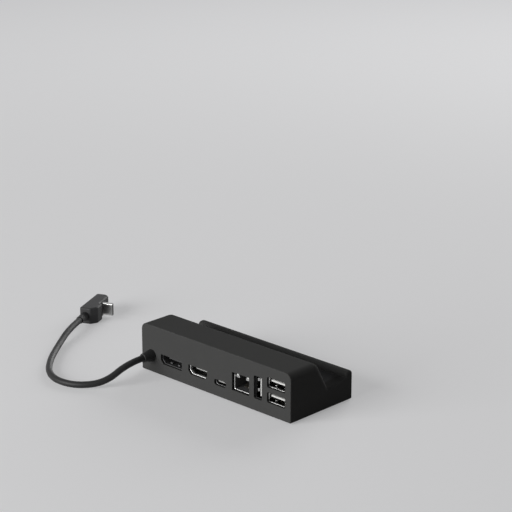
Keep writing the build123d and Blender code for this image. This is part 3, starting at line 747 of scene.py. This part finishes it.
def data_contacts(plating, sizes):
    """Sprung contacts under each data tongue."""
    count = DATA_CONTACT_COUNT
    line = [(along * MM, DATA_TONGUE_FACE + up * MM) for along, up in DATA_CONTACT]
    half_row = (count - 1) / 2 * sizes.data_pitch
    rows = {}
    for name, place in data_places().items():
        start = place @ Matrix.Translation((-half_row, 0, 0))
        first = strip(line, sizes.data_contact, DATA_CONTACT_THICKNESS, start)
        step = place.to_3x3() @ Vector((sizes.data_pitch, 0, 0))
        rows[name] = row_mesh(first, count, step, plating)
    pair = joined("data_pair_contact_rows", [rows["data_pair_upper"], rows["data_pair_lower"]])
    piece("data_pair_contact_rows", pair, ["data_pair_contacts"])
    piece("data_upright_contact_row", rows["data_upright"], ["data_upright_contacts"])


def network_contacts(plating, sizes):
    """Spring contacts that rise towards the back of the jack's mouth."""
    low, high = (Vector(corner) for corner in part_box("network_contacts"))
    count = NETWORK_CONTACT_COUNT
    half_row = (count - 1) / 2 * sizes.network_pitch
    place = Matrix.Translation(((low.x + high.x) / 2 - half_row, low.y, low.z))
    run = high.y - low.y
    rise = high.z - low.z
    thick = NETWORK_CONTACT_THICKNESS
    line = [
        (0.2 * MM, thick / 2),
        (0.9 * MM, thick / 2 + 0.15 * MM),
        (0.35 * run, 0.30 * rise),
        (0.75 * run, 0.72 * rise),
        (run - 0.1 * MM, rise - thick),
    ]
    first = strip(line, sizes.network_contact, thick, place)
    row = row_mesh(first, count, (sizes.network_pitch, 0, 0), plating)
    piece("network_contact_row", row, ["network_contacts"])


class DOCK_OT_springs(DockOperator, bpy.types.Operator):
    """Make the spring leaves that hold a plug in the data sockets and the wide video socket"""

    bl_idname = "dock.springs"
    bl_label = "Spring leaves"

    def execute(self, context):
        sizes = context.scene.dock_sockets
        colours = context.scene.dock_colours
        steel = drawn_metal("spring_steel", colours.steel, 0.26, ALONG_SOCKET)
        dull = drawn_metal("dull_spring_steel", colours.dark_steel, 0.45, ALONG_SOCKET)
        for name, place in data_places().items():
            upright = name == "data_upright"
            line = UPRIGHT_LEAF if upright else DATA_LEAF
            shift = -UPRIGHT_LEAF_LIFT if upright else PAIR_LEAF_SHIFT
            spacing = sizes.spring_spacing if upright else sizes.pair_spring_spacing
            floor = place @ Matrix.Translation((shift, 0, -DATA_HALF_HEIGHT))
            leaves = leaf_row(floor, line, sizes.spring, 2, spacing, steel)
            piece(f"{name}_springs", leaves)
        low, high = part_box("wide_video_sleeve")
        ceiling = Matrix.Translation(((low[0] + high[0]) / 2, low[1], high[2] - SHEET))
        floor = Matrix.Translation((0, 0, -WIDE_VIDEO_HEIGHT)) @ ceiling
        rows = [
            leaf_row(floor, WIDE_VIDEO_LEAF, sizes.spring, 2, sizes.spring_spacing, dull),
            leaf_row(ceiling @ Matrix.Diagonal((1, 1, -1, 1)), WIDE_VIDEO_TAB, sizes.spring, 1, 0, dull),
        ]
        piece("wide_video_springs", joined("wide_video_springs", rows))
        return {"FINISHED"}


def leaf_row(wall, line, width, count, spacing, finish):
    """A row of leaves on a sleeve's wall, centred on the place given."""
    points = [(along * MM, up * MM) for along, up in line]
    first = wall @ Matrix.Translation((-(count - 1) / 2 * spacing, 0, 0))
    step = wall.to_3x3() @ Vector((spacing, 0, 0))
    return row_mesh(strip(points, width, LEAF_THICKNESS, first), count, step, finish)


class DOCK_OT_lead(DockOperator, bpy.types.Operator):
    """Lay the tail lead and finish its gland and plug"""

    bl_idname = "dock.lead"
    bl_label = "Tail lead"

    def execute(self, context):
        sizes = context.scene.dock_lead
        skin = jacket()
        curve = bpy.data.curves.new("tail_lead", "CURVE")
        curve.dimensions = "3D"
        spline = curve.splines.new("NURBS")
        spline.points.add(len(LEAD_ROUTE) - 1)
        for point, spot in zip(spline.points, LEAD_ROUTE):
            point.co = (*spot, 1.0)
        spline.order_u = 3
        spline.use_endpoint_u = True
        curve.resolution_u = 16
        curve.bevel_depth = sizes.diameter / 2
        curve.bevel_resolution = sizes.sides
        curve.use_fill_caps = True
        curve.materials.append(skin)
        lead = piece("tail_lead", curve, ["cord"])
        for name in ("cable_gland", "plug_collar", "cord", "cord_tail"):
            in_node(name, skin)
        in_node("plug_body", connector_plastic())
        in_node("plug_sleeve", bpy.data.materials["spring_steel"])
        core = context.scene.dock_colours.plug_core
        in_node("plug_core", socket_moulding("socket_moulding", core, 0.55))
        return {"FINISHED"}


class DOCK_OT_stage(DockOperator, bpy.types.Operator):
    """Set the floor, lights and camera"""

    bl_idname = "dock.stage"
    bl_label = "Stage"

    def execute(self, context):
        stage = context.scene.dock_stage
        scene = context.scene
        scene.view_settings.view_transform = "Standard"
        floor_mesh = bpy.data.meshes.new("floor")
        corners = [(x * FLOOR_HALF, y * FLOOR_HALF, 0) for x, y in ((-1, -1), (1, -1), (1, 1), (-1, 1))]
        floor_mesh.from_pydata(corners, [], [(0, 1, 2, 3)])
        floor = bpy.data.objects.new("floor", floor_mesh)
        scene.collection.objects.link(floor)
        floor_mesh.materials.append(floor_paint(stage))
        lamp("key_light", KEY_PLACE, KEY_WIDTH, stage.key)
        lamp("fill_light", FILL_PLACE, FILL_WIDTH, stage.fill)
        scene.world = surround(stage)
        lens = bpy.data.cameras.new("photo_camera")
        lens.lens = stage.lens
        lens.sensor_width = 36.0
        lens.clip_start = 0.01
        camera = bpy.data.objects.new("photo_camera", lens)
        camera.location = CAMERA_PLACE
        camera.rotation_euler = CAMERA_TURN
        scene.collection.objects.link(camera)
        scene.camera = camera
        return {"FINISHED"}


def surround(stage):
    """Even low light on the dock, and a pale surround to the eye."""
    world = bpy.data.worlds.new("surround")
    world.use_nodes = True
    t = Tree(world.node_tree)
    light = t.node("Background", sockets={"Color": rgba(stage.world)})
    pale = t.node("Background", sockets={"Color": rgba(stage.distance)})
    mixed = t.node("MixShader", sockets={0: t.looked_at(), 1: light, 2: pale})
    t.feed(world.node_tree.nodes["World Output"].inputs["Surface"], mixed)
    return world


def floor_paint(stage):
    """Pale matt floor to the eye, plainer where it throws light on the dock, and lost in the distance."""
    f = Finish("floor_paint")
    cloud = f.noise(0.4, 2.0)
    eye = f.looked_at()
    base = f.blend(rgba(stage.floor_bounce), f.tint(stage.floor, 0.01, cloud), eye)
    f.set(Base_Color=base, Roughness=0.85, Specular_IOR_Level=0.1)
    reach = f.node("VectorMath", {"operation": "LENGTH"}, {0: f.place}, output="Value")
    far = reach.ramp(HAZE_START, HAZE_END)
    haze = f.node("Emission", sockets={"Color": f.blend(rgba(stage.glow), rgba(stage.distance), far)})
    veil = (VEIL + (1 - VEIL) * far) * eye
    lost = f.node("MixShader", sockets={0: veil, 1: Value(f, f.shader.outputs[0]), 2: haze})
    f.feed(f.tree.nodes["Material Output"].inputs["Surface"], lost)
    return f.material


def lamp(name, spot, width, level):
    """A square soft light that faces the dock and lights a face turned to it at that level."""
    spot = Vector(spot)
    light = bpy.data.lights.new(name, "AREA")
    light.size = width
    light.energy = level * pi ** 2 * (spot.length_squared + width ** 2 / 3)
    made = bpy.data.objects.new(name, light)
    made.location = spot
    made.rotation_euler = (-spot).to_track_quat("-Z", "Y").to_euler()
    bpy.context.scene.collection.objects.link(made)


STEPS = (
    DOCK_OT_shell,
    DOCK_OT_sockets,
    DOCK_OT_board,
    DOCK_OT_contacts,
    DOCK_OT_springs,
    DOCK_OT_lead,
    DOCK_OT_stage,
)
GROUPS = {
    "dock_colours": DockColours,
    "dock_lead": DockLead,
    "dock_sockets": DockSockets,
    "dock_stage": DockStage,
}


class DOCK_PT_panel(bpy.types.Panel):
    """Lists the dock's settings and the steps that make it"""

    bl_idname = "DOCK_PT_panel"
    bl_label = "Handheld console dock"
    bl_space_type = "VIEW_3D"
    bl_region_type = "UI"
    bl_category = "Dock"

    def draw(self, context):
        for name, group in GROUPS.items():
            box = self.layout.box()
            for key in group.__annotations__:
                box.prop(getattr(context.scene, name), key)
        for step in STEPS:
            self.layout.operator(step.bl_idname)


CLASSES = (*GROUPS.values(), *STEPS, DOCK_PT_panel)


def register():
    for cls in CLASSES:
        bpy.utils.register_class(cls)
    for name, group in GROUPS.items():
        setattr(bpy.types.Scene, name, PointerProperty(type=group))


def unregister():
    for name in GROUPS:
        delattr(bpy.types.Scene, name)
    for cls in reversed(CLASSES):
        bpy.utils.unregister_class(cls)


def main():
    register()
    bpy.ops.dock.shell()
    bpy.ops.dock.sockets()
    bpy.ops.dock.board()
    bpy.ops.dock.contacts()
    bpy.ops.dock.springs()
    bpy.ops.dock.lead()
    bpy.ops.dock.stage()


if __name__ == "__main__":
    main()
